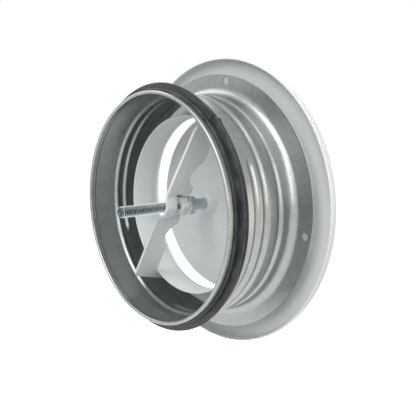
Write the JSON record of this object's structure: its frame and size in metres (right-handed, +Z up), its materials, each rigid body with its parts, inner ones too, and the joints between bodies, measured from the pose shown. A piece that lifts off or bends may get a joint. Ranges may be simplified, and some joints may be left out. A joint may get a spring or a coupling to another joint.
{
  "type": "extract air valve",
  "caption": "Round extract air valve: a ring and throat on a gasketed duct spigot with a screw flange, and a disc on a screwed spindle that sets the air gap.",
  "frame": {"origin": "centre of the screw circle, on the flange face that lies against the wall", "axes": "+Y along the duct away from the room, +Z up, the disc faces the room on -Y"},
  "size_m": [0.164, 0.0735, 0.164],
  "materials": {
    "galvanised_steel": "satin",
    "gasket_rubber": "matte",
    "white_powder_coat": "satin",
    "zinc_plated_steel": "satin"
  },
  "bodies": {
    "frame": {"mounting_frame": "galvanised_steel", "gasket": "gasket_rubber"},
    "valve": {"valve_body": "white_powder_coat", "bridge": "white_powder_coat", "captive_nut": "white_powder_coat"},
    "spindle": {"spindle": "zinc_plated_steel"},
    "disc": {"disc": "white_powder_coat"},
    "lock_nut": {"lock_nut": "zinc_plated_steel"}
  },
  "joints": [
    {"name": "valve_pull_out", "type": "slide", "parent": "frame", "child": "valve", "axis": [0, -1, 0], "range_m": [0, 0.07]},
    {"name": "disc_travel", "type": "slide", "parent": "valve", "child": "spindle", "axis": [0, -1, 0], "range_m": [-0.0078, 0.02]},
    {"name": "disc_turn", "type": "hinge", "parent": "spindle", "child": "disc", "pos_m": [0, 0, 0], "axis": [0, -1, 0], "range_deg": [-2808, 7200]},
    {"name": "lock_nut_turn", "type": "hinge", "parent": "valve", "child": "lock_nut", "pos_m": [0, 0.018, 0], "axis": [0, -1, 0], "range_deg": [0, 720]}
  ],
  "couplings": [
    {"joint": "disc_travel", "follows": "disc_turn", "m_per_rad": 0.00015915}
  ]
}
